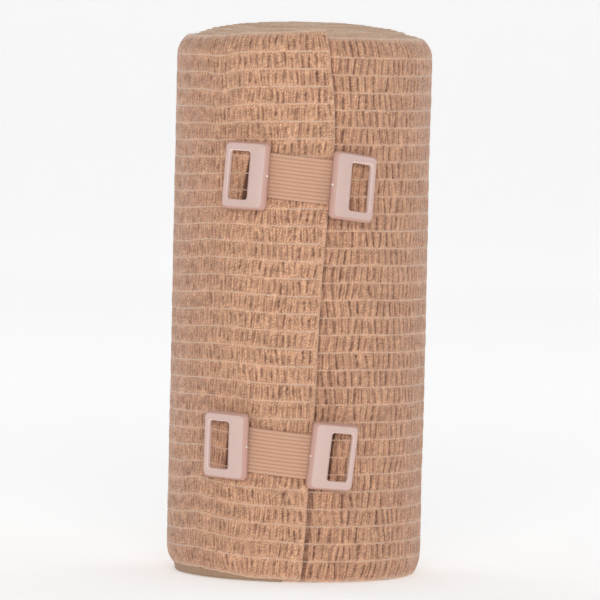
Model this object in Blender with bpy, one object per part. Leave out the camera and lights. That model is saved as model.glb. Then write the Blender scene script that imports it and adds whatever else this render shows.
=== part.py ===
"""An elastic compression bandage, rolled up and standing on end, held by two band clips.

Metres, +Z up, front towards -Y. The origin is the middle of the footprint. Azimuths are degrees from
the front, positive towards +X. The strip winds outwards with growing azimuth, and its free end lies on
the outside, a little right of the front.
"""

import math

import bmesh
import bpy
from mathutils import Matrix, Vector

# The strip of elastic fabric.
STRIP_WIDTH = 0.150
STRIP_THICKNESS = 0.0016
TURN_GAP = 0.0003
ROLL_RADIUS = 0.0368
CORE_RADIUS = 0.0024
STATION_STEP = 12.0

# The pale threads that run along the strip, and the low rib of puckered fabric between two of them.
THREAD_COUNT = 30
THREAD_MARGIN = 0.00525
RIB_HEIGHT = 0.0004
EDGE_ROUNDING = 0.0010

# The outermost turn has its ribs modelled, and so has the stretch that it hides.
RIBBED_ANGLE = 372.0
FREE_END_AZIMUTH = 10.0

# How the turns have slid along the roll's axis.
# Columns: share of the roll's radius, rise of the top edge, rise of the bottom edge.
# The rises are shares of the strip's width.
SLIDE_BY_RADIUS = (
    (0.00, 0.0273, 0.0233),
    (0.31, 0.0260, 0.0220),
    (0.44, 0.0240, 0.0193),
    (0.56, 0.0213, 0.0160),
    (0.67, 0.0180, 0.0120),
    (0.80, 0.0120, 0.0060),
    (0.86, 0.0067, 0.0000),
    (0.92, 0.0033, 0.0000),
    (0.95, 0.0000, 0.0000),
    (1.00, 0.0000, 0.0000),
)

# How the outermost turn rides up and narrows on its way back from the free end.
# Columns: share of a turn back from the free end, rise of the top edge, rise of the bottom edge.
SLIDE_NEAR_END = (
    (0.00, 0.0147, 0.0033),
    (0.04, 0.0100, 0.0047),
    (0.08, 0.0073, 0.0053),
    (0.12, 0.0040, 0.0100),
    (0.16, -0.0007, 0.0153),
    (0.20, -0.0013, 0.0147),
    (0.28, 0.0000, 0.0113),
    (0.50, 0.0000, 0.0053),
    (0.67, 0.0000, 0.0000),
    (1.10, 0.0000, 0.0000),
)

# The cut edge of the free end, which isn't quite upright.
# Columns: share of the strip's width from the bottom, azimuth in degrees.
FREE_EDGE = (
    (0.00, 3.0),
    (0.10, 4.6),
    (0.17, 5.3),
    (0.33, 7.6),
    (0.43, 8.2),
    (0.52, 9.0),
    (0.62, 10.5),
    (0.80, 13.8),
    (0.85, 13.5),
    (0.91, 12.1),
    (0.96, 10.8),
    (1.00, 9.2),
)

# The end frame of a clip. Its wide bar is the one that grips the band.
FRAME_WIDTH = 0.0131
FRAME_HEIGHT = 0.0187
FRAME_THICKNESS = 0.0030
FRAME_CORNER = 0.0014
FRAME_BEVEL = 0.0008
WINDOW_WIDTH = 0.0060
WINDOW_HEIGHT = 0.0135
WINDOW_CORNER = 0.0005
THIN_BAR = 0.0016
CORNER_POINTS = 4

# The elastic band of a clip, and the recess in the frame's back that takes its end. The recess has room
# for the band to lie higher or lower in it.
BAND_WIDTH = 0.0124
BAND_THICKNESS = 0.0009
BAND_RIB_COUNT = 12
BAND_RIB_HEIGHT = 0.0002
BAND_STATIONS = 14
BAND_TUCK = 0.0020
BAND_RISE = {"upper": 0.00055, "lower": -0.00085}
RECESS_CLEARANCE = 0.0004
RECESS_ROOM = 0.0009
RECESS_DEPTH = 0.0017
SEAT_GAP = 0.0003

# Where each frame sits on the roll.
# Columns: clip, side, azimuth of its middle, share of the strip's width up, lean to the right in its own
# plane, yaw away from the tangent, tilt that lifts its top off the roll. The right frames are yawed
# because they straddle the free end's step.
FRAME_PLACES = (
    ("upper", "left", -24.1, 0.7436, 0.6, 0.0, -5.0),
    ("upper", "right", 20.7, 0.7258, 7.5, 7.0, -7.0),
    ("lower", "left", -30.5, 0.2466, 2.2, 5.0, 5.0),
    ("lower", "right", 14.6, 0.2317, 4.5, 3.0, 4.0),
)

# Colour and roughness of each material.
FABRIC_COLOUR = (0.58, 0.33, 0.19, 1.0)
FRAME_COLOUR = (0.66, 0.47, 0.41, 1.0)
BAND_COLOUR = (0.60, 0.35, 0.22, 1.0)

PITCH = STRIP_THICKNESS + TURN_GAP
FULL_TURN = 360.0


def clear_scene():
    for old in list(bpy.data.objects):
        bpy.data.objects.remove(old)


def make_material(name, colour, roughness):
    material = bpy.data.materials.new(name)
    material.use_nodes = True
    shader = material.node_tree.nodes["Principled BSDF"]
    shader.inputs["Base Color"].default_value = colour
    shader.inputs["Roughness"].default_value = roughness
    shader.inputs["Metallic"].default_value = 0.0
    return material


def add_object(name, mesh, material):
    thing = bpy.data.objects.new(name, mesh)
    bpy.context.collection.objects.link(thing)
    if not mesh.materials:
        mesh.materials.append(material)
    return thing


def read_table(table, key, column):
    """Reads a table between its rows: straight lines between them, and flat past its ends."""
    if key <= table[0][0]:
        return table[0][column]
    for low, high in zip(table, table[1:]):
        if key <= high[0]:
            share = (key - low[0]) / (high[0] - low[0])
            return low[column] + share * (high[column] - low[column])
    return table[-1][column]


def outer_radius(azimuth):
    """Radius of the strip's outer face. Each turn further in is a whole turn less in azimuth."""
    return ROLL_RADIUS - PITCH * (FREE_END_AZIMUTH - azimuth) / FULL_TURN


def strip_edges(azimuth):
    """Heights of the strip's bottom and top edge at an azimuth."""
    radius_share = outer_radius(azimuth) / ROLL_RADIUS
    turns_back = (FREE_END_AZIMUTH - azimuth) / FULL_TURN
    top_rise = read_table(SLIDE_BY_RADIUS, radius_share, 1) + read_table(SLIDE_NEAR_END, turns_back, 1)
    bottom_rise = read_table(SLIDE_BY_RADIUS, radius_share, 2) + read_table(SLIDE_NEAR_END, turns_back, 2)
    return bottom_rise * STRIP_WIDTH, (1.0 + top_rise) * STRIP_WIDTH


def thread_shares():
    """Places of the threads across the strip, as shares of its width."""
    pitch = (STRIP_WIDTH - 2 * THREAD_MARGIN) / (THREAD_COUNT - 1)
    return [(THREAD_MARGIN + i * pitch) / STRIP_WIDTH for i in range(THREAD_COUNT)]


def rib_profile():
    """The ribbed outer face from bottom to top: share of the width, and distance behind the crests."""
    stops = [0.0] + thread_shares() + [1.0]
    profile = [(0.0, EDGE_ROUNDING)]
    for low, high in zip(stops, stops[1:]):
        profile.append(((low + high) / 2, 0.0))
        profile.append((high, RIB_HEIGHT))
    profile[-1] = (1.0, EDGE_ROUNDING)
    return profile


PLAIN_PROFILE = [(0.0, 0.0), (1.0, 0.0)]
RIB_PROFILE = rib_profile()
THREAD_PROFILE = [(share, 0.0) for share in [0.0] + thread_shares() + [1.0]]


def on_roll(azimuth, radius, height):
    """The point at that azimuth, radius and height about the roll's axis."""
    angle = math.radians(azimuth)
    return Vector((radius * math.sin(angle), -radius * math.cos(angle), height))


def strip_chain(mesh, azimuth, profile, face_depth, edge_share=0.0):
    """Vertices up one face of the strip, bottom to top.

    face_depth is 0 for the outer face and the strip's thickness for the inner one. edge_share is how
    far the chain leans from the given azimuth towards the free end's cut edge.
    """
    chain = []
    for share, inset in profile:
        place = azimuth + edge_share * read_table(FREE_EDGE, share, 1)
        bottom, top = strip_edges(place)
        height = bottom + share * (top - bottom)
        chain.append(mesh.verts.new(on_roll(place, outer_radius(place) - face_depth - inset, height)))
    return chain


def fill_between(mesh, left, right):
    """Fills the strip between two chains that run side by side, which may have different point counts."""
    i = 0
    j = 0
    while i < len(left) - 1 or j < len(right) - 1:
        left_next = (i + 1) / (len(left) - 1)
        right_next = (j + 1) / (len(right) - 1)
        if abs(left_next - right_next) < 1e-9:
            mesh.faces.new((left[i], right[j], right[j + 1], left[i + 1]))
            i += 1
            j += 1
        elif left_next < right_next:
            mesh.faces.new((left[i], right[j], left[i + 1]))
            i += 1
        else:
            mesh.faces.new((left[i], right[j], right[j + 1]))
            j += 1


def join_sections(mesh, first, second):
    """Walls between two cross-sections of the strip, each an outer and an inner chain."""
    outer_a, inner_a = first
    outer_b, inner_b = second
    fill_between(mesh, outer_a, outer_b)
    fill_between(mesh, inner_b, inner_a)
    mesh.faces.new((inner_a[0], inner_b[0], outer_b[0], outer_a[0]))
    mesh.faces.new((outer_a[-1], outer_b[-1], inner_b[-1], inner_a[-1]))


def strip_sections(mesh):
    """Cross-sections from the core to the free end, ribbed on the outermost turn."""
    inner_edge_radius = CORE_RADIUS + STRIP_THICKNESS
    wound_angle = FULL_TURN * (ROLL_RADIUS - inner_edge_radius) / PITCH - FREE_END_AZIMUTH
    sections = []
    for station in range(int(wound_angle / STATION_STEP), -1, -1):
        azimuth = -station * STATION_STEP
        outer_profile = RIB_PROFILE if azimuth >= -RIBBED_ANGLE else PLAIN_PROFILE
        inner_profile = THREAD_PROFILE if station == 0 else PLAIN_PROFILE
        outer = strip_chain(mesh, azimuth, outer_profile, 0.0)
        inner = strip_chain(mesh, azimuth, inner_profile, STRIP_THICKNESS)
        sections.append((outer, inner))
    for edge_share in (0.5, 1.0):
        outer = strip_chain(mesh, 0.0, RIB_PROFILE, 0.0, edge_share)
        inner = strip_chain(mesh, 0.0, THREAD_PROFILE, STRIP_THICKNESS, edge_share)
        sections.append((outer, inner))
    return sections


def build_roll(material):
    mesh = bmesh.new()
    sections = strip_sections(mesh)
    for first, second in zip(sections, sections[1:]):
        join_sections(mesh, first, second)
    core_outer, core_inner = sections[0]
    end_outer, end_inner = sections[-1]
    fill_between(mesh, core_inner, core_outer)
    fill_between(mesh, end_outer, end_inner)
    bmesh.ops.recalc_face_normals(mesh, faces=mesh.faces)
    data = bpy.data.meshes.new("bandage_roll")
    mesh.to_mesh(data)
    mesh.free()
    data.shade_smooth()
    data.set_sharp_from_angle(angle=math.radians(40))
    return add_object("bandage_roll", data, material)


def rounded_rectangle(width, height, corner, middle, level):
    """Points of an upright rounded rectangle in the XZ plane. level is the distance towards -Y."""
    points = []
    corners = ((1, 1, 0.0), (-1, 1, 90.0), (-1, -1, 180.0), (1, -1, 270.0))
    for side, up, start in corners:
        for i in range(CORNER_POINTS):
            angle = math.radians(start + 90.0 * i / (CORNER_POINTS - 1))
            x = middle + side * (width / 2 - corner) + corner * math.cos(angle)
            z = up * (height / 2 - corner) + corner * math.sin(angle)
            points.append(Vector((x, -level, z)))
    return points


def frame_rings():
    """Rings round the left frame's bars: up the outside, over the face and back down the window."""
    window_middle = -FRAME_WIDTH / 2 + THIN_BAR + WINDOW_WIDTH / 2
    top = FRAME_THICKNESS
    rim = FRAME_BEVEL
    outside = (FRAME_WIDTH, FRAME_HEIGHT, FRAME_CORNER, 0.0)
    outside_rim = (FRAME_WIDTH - 2 * rim, FRAME_HEIGHT - 2 * rim, FRAME_CORNER - rim / 2, 0.0)
    window = (WINDOW_WIDTH, WINDOW_HEIGHT, WINDOW_CORNER, window_middle)
    return (
        rounded_rectangle(*outside, 0.0),
        rounded_rectangle(*outside, top - rim),
        rounded_rectangle(*outside_rim, top),
        rounded_rectangle(*window, top),
        rounded_rectangle(*window, 0.0),
    )


def recess_cutter():
    """A box that cuts the seat of the band's end out of the frame's back, open towards the band."""
    reach = BAND_TUCK + RECESS_CLEARANCE
    height = BAND_WIDTH + 2 * (RECESS_CLEARANCE + RECESS_ROOM)
    size = Vector((2 * reach, 2 * RECESS_DEPTH, height))
    mesh = bmesh.new()
    place = Matrix.Translation((FRAME_WIDTH / 2, 0.0, 0.0)) @ Matrix.Diagonal(size.to_4d())
    bmesh.ops.create_cube(mesh, size=1.0, matrix=place)
    data = bpy.data.meshes.new("recess_cutter")
    mesh.to_mesh(data)
    mesh.free()
    cutter = bpy.data.objects.new("recess_cutter", data)
    bpy.context.collection.objects.link(cutter)
    cutter.hide_render = True
    cutter.display_type = "WIRE"
    return cutter


def frame_mesh(material):
    """The left frame, its back on the XZ plane and its face towards -Y. Half a turn makes it right."""
    mesh = bmesh.new()
    rings = [[mesh.verts.new(p) for p in ring] for ring in frame_rings()]
    count = len(rings[0])
    for ring, following in zip(rings, rings[1:] + rings[:1]):
        for i in range(count):
            j = (i + 1) % count
            mesh.faces.new((ring[i], ring[j], following[j], following[i]))
    bmesh.ops.recalc_face_normals(mesh, faces=mesh.faces)
    data = bpy.data.meshes.new("frame_blank")
    mesh.to_mesh(data)
    mesh.free()
    blank = add_object("frame_blank", data, material)
    cutter = recess_cutter()
    cut = blank.modifiers.new("recess", "BOOLEAN")
    cut.object = cutter
    cut.solver = "EXACT"
    depsgraph = bpy.context.evaluated_depsgraph_get()
    finished = bpy.data.meshes.new_from_object(blank.evaluated_get(depsgraph))
    finished.name = "clip_frame"
    bpy.data.objects.remove(blank)
    bpy.data.objects.remove(cutter)
    finished.set_sharp_from_angle(angle=math.radians(30))
    return finished


def surface_radius(azimuth, height):
    """Radius of the visible surface: the free end left of the cut edge, the turn below it right of it."""
    edge = read_table(FREE_EDGE, height / STRIP_WIDTH, 1)
    return outer_radius(azimuth if azimuth <= edge else azimuth - FULL_TURN)


def seat_frame(azimuth, height, yaw, tilt):
    """Rests a flat frame on the roll.

    Returns the azimuth of its normal, the distance of its back and how far sideways its middle lies.
    """
    normal = azimuth + yaw
    sideways = -ROLL_RADIUS * math.tan(math.radians(yaw))
    distance = 0.0
    steps = 24
    for i in range(steps + 1):
        offset = sideways + FRAME_WIDTH * (i / steps - 0.5)
        place = normal + math.degrees(math.atan2(offset, ROLL_RADIUS))
        for end in (-0.5, 0.0, 0.5):
            radius = surface_radius(place, height + end * FRAME_HEIGHT)
            lifted = end * FRAME_HEIGHT * math.sin(math.radians(tilt))
            distance = max(distance, radius * math.cos(math.radians(place - normal)) - lifted)
    return normal, distance + SEAT_GAP, sideways


def frame_matrix(normal, distance, sideways, height, lean, tilt, side):
    """Place of a frame: turned in its plane, tilted, pushed out and swung round to its azimuth."""
    half_turn = 180.0 if side == "right" else 0.0
    in_plane = Matrix.Rotation(math.radians(lean + half_turn), 4, "Y")
    tilted = Matrix.Rotation(math.radians(tilt), 4, "X")
    outwards = Matrix.Translation((sideways, -distance, height))
    return Matrix.Rotation(math.radians(normal), 4, "Z") @ outwards @ tilted @ in_plane


def band_anchor(seat, height, lean, side, rise):
    """Azimuth and height of the band's middle line where it enters the frame."""
    normal, distance, sideways = seat
    towards = 1.0 if side == "left" else -1.0
    reach = towards * FRAME_WIDTH / 2
    across = sideways + reach * math.cos(math.radians(lean))
    azimuth = normal + math.degrees(math.atan2(across, distance))
    return azimuth, height - reach * math.sin(math.radians(lean)) + rise


def band_profile():
    """Across the band: distance from its middle, and height above its back."""
    crests = []
    rib = BAND_WIDTH / BAND_RIB_COUNT
    for i in range(BAND_RIB_COUNT):
        low = -BAND_WIDTH / 2 + i * rib
        crests.append((low, BAND_THICKNESS - BAND_RIB_HEIGHT))
        crests.append((low + rib / 2, BAND_THICKNESS))
    crests.append((BAND_WIDTH / 2, BAND_THICKNESS - BAND_RIB_HEIGHT))
    return crests


def build_band(name, left_anchor, right_anchor, left_lean, right_lean, material):
    """A ribbed band round the front of the roll, with both its ends tucked into the frames' recesses."""
    back_radius = ROLL_RADIUS + SEAT_GAP
    tuck = math.degrees(BAND_TUCK / back_radius)
    start = left_anchor[0] - tuck
    end = right_anchor[0] + tuck
    slope = (right_anchor[1] - left_anchor[1]) / (right_anchor[0] - left_anchor[0])
    mesh = bmesh.new()
    sections = []
    for i in range(BAND_STATIONS + 1):
        share = i / BAND_STATIONS
        azimuth = start + share * (end - start)
        height = left_anchor[1] + slope * (azimuth - left_anchor[0])
        lean = math.radians(left_lean + share * (right_lean - left_lean))
        front = []
        for across, thickness in band_profile():
            place = azimuth + math.degrees(across * math.sin(lean) / back_radius)
            level = height + across * math.cos(lean)
            front.append(mesh.verts.new(on_roll(place, back_radius + thickness, level)))
        back = []
        for across in (-BAND_WIDTH / 2, BAND_WIDTH / 2):
            place = azimuth + math.degrees(across * math.sin(lean) / back_radius)
            back.append(mesh.verts.new(on_roll(place, back_radius, height + across * math.cos(lean))))
        sections.append((front, back))
    for first, second in zip(sections, sections[1:]):
        join_sections(mesh, first, second)
    fill_between(mesh, sections[0][1], sections[0][0])
    fill_between(mesh, sections[-1][0], sections[-1][1])
    bmesh.ops.recalc_face_normals(mesh, faces=mesh.faces)
    data = bpy.data.meshes.new(name)
    mesh.to_mesh(data)
    mesh.free()
    data.shade_smooth()
    data.set_sharp_from_angle(angle=math.radians(50))
    return add_object(name, data, material)


def build_clips(frame_material, band_material):
    """Four frames and two bands. Returns the objects."""
    mesh = frame_mesh(frame_material)
    made = []
    anchors = {}
    leans = {}
    for clip, side, azimuth, height_share, lean, yaw, tilt in FRAME_PLACES:
        height = height_share * STRIP_WIDTH
        seat = seat_frame(azimuth, height, yaw, tilt)
        frame = add_object(f"{clip}_clip_{side}_frame", mesh, frame_material)
        frame.matrix_world = frame_matrix(*seat, height, lean, tilt, side)
        made.append(frame)
        anchors[clip, side] = band_anchor(seat, height, lean, side, BAND_RISE[clip])
        leans[clip, side] = lean
    for clip in ("upper", "lower"):
        ends = (anchors[clip, "left"], anchors[clip, "right"], leans[clip, "left"], leans[clip, "right"])
        made.append(build_band(f"{clip}_clip_strap", *ends, band_material))
    return made


def centre_footprint(things):
    """Moves all pieces together so that the origin is the middle of their common footprint."""
    bpy.context.view_layer.update()
    corners = [thing.matrix_world @ Vector(corner) for thing in things for corner in thing.bound_box]
    low_x, high_x = min(c.x for c in corners), max(c.x for c in corners)
    low_y, high_y = min(c.y for c in corners), max(c.y for c in corners)
    shift = Vector((-(low_x + high_x) / 2, -(low_y + high_y) / 2, 0.0))
    for thing in things:
        thing.location += shift


def main():
    clear_scene()
    fabric = make_material("elastic_fabric", FABRIC_COLOUR, 0.9)
    plastic = make_material("frame_plastic", FRAME_COLOUR, 0.45)
    elastic = make_material("ribbed_elastic", BAND_COLOUR, 0.8)
    things = [build_roll(fabric)] + build_clips(plastic, elastic)
    centre_footprint(things)


main()
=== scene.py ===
"""The looks of a rolled compression bandage that two band clips hold shut.

Metres, +Z up, front towards -Y. Azimuths are degrees from the front, positive towards +X. The strip
winds outwards with growing azimuth, so each turn further in is a whole turn less.
"""

import math

import bmesh
import bpy
import numpy as np
from mathutils import Matrix, Vector


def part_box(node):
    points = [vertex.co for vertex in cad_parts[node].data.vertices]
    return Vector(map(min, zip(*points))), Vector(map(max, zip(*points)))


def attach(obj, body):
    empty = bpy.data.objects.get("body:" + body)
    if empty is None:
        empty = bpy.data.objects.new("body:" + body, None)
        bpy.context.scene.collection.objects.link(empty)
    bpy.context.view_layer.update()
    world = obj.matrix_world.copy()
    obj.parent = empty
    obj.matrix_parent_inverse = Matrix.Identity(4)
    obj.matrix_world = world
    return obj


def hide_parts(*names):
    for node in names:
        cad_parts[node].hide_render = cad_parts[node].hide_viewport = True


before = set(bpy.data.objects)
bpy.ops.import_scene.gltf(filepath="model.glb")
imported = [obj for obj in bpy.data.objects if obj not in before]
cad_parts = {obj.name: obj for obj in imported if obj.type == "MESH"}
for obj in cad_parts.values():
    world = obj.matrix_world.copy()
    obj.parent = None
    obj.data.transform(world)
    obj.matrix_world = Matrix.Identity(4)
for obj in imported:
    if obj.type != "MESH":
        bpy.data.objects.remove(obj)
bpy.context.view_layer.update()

FULL_TURN = 360.0

# The strip of elastic fabric, as the solids have it.
STRIP_WIDTH = 0.150
STRIP_THICKNESS = 0.0016
TURN_GAP = 0.0003
ROLL_RADIUS = 0.0368
CORE_RADIUS = 0.0024
FREE_END_AZIMUTH = 10.0
PITCH = STRIP_THICKNESS + TURN_GAP

# The pale threads along the strip. A row of puckered fabric lies between each two of them.
THREAD_COUNT = 30
THREAD_MARGIN = 0.00525
THREAD_PITCH = (STRIP_WIDTH - 2 * THREAD_MARGIN) / (THREAD_COUNT - 1)
THREAD_RADIUS = 0.00013
THREAD_START = -364.0
THREAD_END_GAP = 0.0012
THREAD_SWAY = 0.00010
THREAD_DIP = 0.00018
THREAD_SLOW_DIP = 0.00009
THREAD_SINK = 0.00008

# How the turns have slid along the roll's axis.
# Columns: share of the roll's radius, rise of the top edge, rise of the bottom edge.
SLIDE_BY_RADIUS = (
    (0.00, 0.0273, 0.0233),
    (0.31, 0.0260, 0.0220),
    (0.44, 0.0240, 0.0193),
    (0.56, 0.0213, 0.0160),
    (0.67, 0.0180, 0.0120),
    (0.80, 0.0120, 0.0060),
    (0.86, 0.0067, 0.0000),
    (0.92, 0.0033, 0.0000),
    (0.95, 0.0000, 0.0000),
    (1.00, 0.0000, 0.0000),
)

# How the outermost turn rides up and narrows on its way back from the free end.
# Columns: share of a turn back from the free end, rise of the top edge, rise of the bottom edge.
SLIDE_NEAR_END = (
    (0.00, 0.0147, 0.0033),
    (0.04, 0.0100, 0.0047),
    (0.08, 0.0073, 0.0053),
    (0.12, 0.0040, 0.0100),
    (0.16, -0.0007, 0.0153),
    (0.20, -0.0013, 0.0147),
    (0.28, 0.0000, 0.0113),
    (0.50, 0.0000, 0.0053),
    (0.67, 0.0000, 0.0000),
    (1.10, 0.0000, 0.0000),
)

# The cut edge of the free end. Columns: share of the strip's width from the bottom, azimuth.
FREE_EDGE = (
    (0.00, 3.0),
    (0.10, 4.6),
    (0.17, 5.3),
    (0.33, 7.6),
    (0.43, 8.2),
    (0.52, 9.0),
    (0.62, 10.5),
    (0.80, 13.8),
    (0.85, 13.5),
    (0.91, 12.1),
    (0.96, 10.8),
    (1.00, 9.2),
)

# How far the outermost turn's rows lie above an even spacing between its edges.
ROW_LIFT = 0.00025

# Soft waves in the height of the outermost turn's rows, where the fabric is pulled and kinked.
# Columns: azimuth, reach either way, share of the strip's width up, reach either way, rise.
ROW_WAVES = (
    (-40.0, 7.5, 0.91, 0.10, -0.0010),
    (-72.0, 14.0, 0.76, 0.22, -0.0004),
    (-34.0, 20.0, 0.52, 0.21, 0.0009),
    (-48.0, 9.0, 0.60, 0.05, 0.0004),
    (-50.0, 9.0, 0.14, 0.09, 0.0009),
    (-41.0, 8.0, 0.22, 0.06, 0.0004),
    (7.0, 9.0, 0.95, 0.14, -0.0004),
    (6.0, 10.0, 0.05, 0.09, -0.0006),
    (-331.0, 14.0, 0.52, 0.15, 0.0004),
    (-320.0, 40.0, 0.90, 0.09, -0.00028),
)

# The strip's long edges lean in towards the axis over their last few millimetres.
TOP_LEAN = 0.0024
BOTTOM_LEAN = 0.0017
INNER_BOTTOM_LEAN = 0.0005
EDGE_LEAN_REACH = 0.0056

# Puckers of the fabric. The rows bulge, and creases run across each row, with fine ribs between them.
ROW_BULGE = 0.00014
RIB_PITCH = 0.00090
FURROW_DEPTH = 0.00026
CREASE_DEPTH = 0.00055
CREASE_HALF_WIDTH = 0.00029
COARSE_PUCKER = 0.00008
SLOW_SWELL = 0.00016
SEAM_GROOVE_DEPTH = 0.00020

# Waves of the strip's long edges, on the outermost turn and on the turns inside it.
EDGE_WAVE = 0.00010
EDGE_RIPPLE = 0.00005
INNER_EDGE_WAVE = 0.00009
INNER_EDGE_RIPPLE = 0.00003
INNER_EDGE_FRILL = 0.00003
INNER_EDGE_SWAY = 0.00012

# The cut edge lies flat: its puckers fade out, it gets thinner, and it is rounded off at last.
CUT_EDGE_CALM_REACH = 0.0013
CUT_EDGE_THINNING = 0.0005
CUT_EDGE_ROUNDING = 0.0008
CUT_EDGE_ROUND_REACH = 0.0005

# The fabric gets a little paler from this share of the outermost turn on, within 1 / FLAP_RAMP of a turn.
FLAP_START = 0.885
FLAP_RAMP = 25.0

# The creases are widest apart on the layer that the free end lies on, close to the cut edge.
# Columns: run along the strip in turns, pitch of the creases, their strength, share of a row they span.
PUCKERS = (
    (-0.05, 0.00240, 1.00, 0.95),
    (0.13, 0.00230, 1.00, 0.90),
    (0.20, 0.00170, 0.60, 0.70),
    (0.50, 0.00120, 0.45, 0.60),
    (0.76, 0.00104, 0.38, 0.60),
    (0.83, 0.00108, 0.50, 0.60),
    (0.88, 0.00130, 0.60, 0.60),
    (0.93, 0.00178, 0.70, 0.65),
    (1.05, 0.00188, 0.85, 0.75),
)

# Fineness of the modelled pieces.
POINTS_PER_ROW = 12
POINTS_PER_ROW_BEHIND = 9
EDGE_POINTS = 5
INNER_FACE_POINTS = 16
INNER_STEP = 0.00052
THREAD_STEP = 0.00060
THREAD_SIDES = 5
BAND_STEP = 0.00014

# The outermost turn is made in stretches, finer where the picture shows it.
# Columns: piece, azimuth of its start and end, step along it, points in each row.
OUTER_TURN_START = -366.0
OUTER_STRETCHES = (
    ("outer_turn_free_end", -38.0, FREE_END_AZIMUTH, 0.00020, POINTS_PER_ROW),
    ("outer_turn_left", -90.0, -38.0, 0.00022, POINTS_PER_ROW),
    ("outer_turn_back_left", -180.0, -90.0, 0.00031, POINTS_PER_ROW_BEHIND),
    ("outer_turn_back_right", -270.0, -180.0, 0.00031, POINTS_PER_ROW_BEHIND),
    ("outer_turn_right", -320.0, -270.0, 0.00022, POINTS_PER_ROW),
    ("outer_turn_under_layer", OUTER_TURN_START, -320.0, 0.00020, POINTS_PER_ROW),
)

# The end frame of a clip.
FRAME_WIDTH = 0.0131
FRAME_HEIGHT = 0.0187
FRAME_THICKNESS = 0.0030
FRAME_PLATE = 0.0017
FRAME_UNDERCUT = 0.00055
FRAME_CORNER = 0.0014
FRAME_BEVEL = 0.00090
WINDOW_WIDTH = 0.0060
WINDOW_HEIGHT = 0.0135
WINDOW_BEVEL = 0.00035
THIN_BAR = 0.0016
PALE_DOT_RADIUS = 0.00028

# The fold that a frame's grip pulls into the fabric beside its wide bar, seen through the window, darkened
# with painted shade.
# Columns: clip, side, how far right of the frame's middle at the top and at the bottom, reach either way
# at the top and at the bottom, depth.
GRIP_FOLDS = (
    ("upper", "left", 0.0000, -0.0013, 0.00035, 0.00140, 0.0009),
    ("upper", "right", 0.0007, 0.0007, 0.00050, 0.00040, 0.0006),
    ("lower", "left", -0.0008, -0.0011, 0.00050, 0.00060, 0.0006),
    ("lower", "right", 0.0005, 0.0004, 0.00070, 0.00055, 0.0007),
)

# The elastic band of a clip.
BAND_WIDTH = 0.0124
BAND_THICKNESS = 0.0009
BAND_RIB_COUNT = 12
BAND_RIB_HEIGHT = 0.00022
BAND_KNIT_PITCH = 0.00072
BAND_KNIT_HEIGHT = 0.000035
BAND_ROUGH_HEIGHT = 0.00003
BAND_TUCK = 0.0020
BAND_RISE = {"upper": 0.00055, "lower": -0.00085}
RECESS_CLEARANCE = 0.0004
RECESS_ROOM = 0.0009
RECESS_DEPTH = FRAME_THICKNESS - FRAME_PLATE
SEAT_GAP = 0.0003

# Where each frame sits: clip, side, azimuth of its middle, share of the strip's width up, lean to the
# right in its own plane, yaw away from the tangent, and tilt that lifts its top off the roll.
FRAME_PLACES = (
    ("upper", "left", -23.5, 0.7450, 1.6, 0.0, -5.0),
    ("upper", "right", 19.9, 0.7279, 7.5, 7.0, -7.0),
    ("lower", "left", -30.1, 0.2493, 3.0, 5.0, 5.0),
    ("lower", "right", 14.4, 0.2336, 4.6, 3.0, 4.0),
)

# Frames whose bevel next to the band gets the paler side colour, painted light that makes it nearly as pale
# as their face.
LIT_BAND_SIDES = (("upper", "right"), ("lower", "left"))

# The camera, from the way the straight threads bow in the picture.
CAMERA_DISTANCE = 1.55
CAMERA_HEIGHT = 0.155
CAMERA_AIM = (-0.0002, 0.0, 0.0761)
CAMERA_ROLL = 1.3
CAMERA_LENS = 330.0

# The stitches of the ribs, how strongly painted shade darkens the gaps between them, and how strongly the
# free end, the threads and the selvage are tinted.
# The thread's tint reaches a share of the threads' pitch, the selvage's a width.
STITCH_PITCH = 0.00080
STITCH_SHADE_STRENGTH = 0.75
FLAP_TINT = 0.28
THREAD_TINT = 0.22
THREAD_TINT_REACH = 0.045
SELVAGE_TINT = 0.5
SELVAGE_LINE = 0.0001

# How strong the soft patches of a colour are beside its fine specks.
PATCH_SHARE = 0.3

# The pale paper that the roll stands on, just under the fuzzy lower edges of the fabric.
STAGE_DROP = 0.0006
STAGE_FRONT = -3.4
STAGE_BEND_START = 1.9
STAGE_BEND_RADIUS = 0.5
STAGE_TOP = 2.6
STAGE_HALF_WIDTH = 3.0
STAGE_GLOW = 0.5

# Soft lamps. Columns: name, place, size, power in watts.
LAMPS = (
    ("front_soft", (0.0, -1.9, 0.50), (0.9, 0.7), 17.5),
    ("left_rim", (-1.2, 0.9, 0.4), (0.6, 1.0), 3.5),
    ("right_rim", (1.2, 0.9, 0.4), (0.6, 1.0), 3.5),
    ("left_soft", (-1.4, -0.6, 0.5), (0.9, 1.2), 0.7),
    ("right_soft", (1.4, -0.6, 0.5), (0.9, 1.2), 0.9),
    ("top_soft", (0.0, 0.2, 1.5), (1.2, 1.2), 4.0),
)
LAMP_AIM = (0.0, 0.0, 0.075)
ROOM_GLOW = 0.30

# Colours of the finishes.
FABRIC_COLOUR = (0.805, 0.468, 0.279, 1.0)
FABRIC_PINK = (0.705, 0.387, 0.256, 1.0)
FLAP_COLOUR = (0.950, 0.565, 0.345, 1.0)
# Painted shade in the fabric's fine furrows and in the gaps between its stitches.
GAP_SHADE_COLOUR = (0.290, 0.135, 0.078, 1.0)
# Painted shade in the fabric's creases, in the grips' folds, beside the cut edge and in the dips of the inner
# turns' edges.
CREASE_SHADE_COLOUR = (0.165, 0.072, 0.043, 1.0)
THREAD_COLOUR = (0.660, 0.490, 0.385, 1.0)
TURNS_COLOUR = (0.600, 0.375, 0.245, 1.0)
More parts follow.
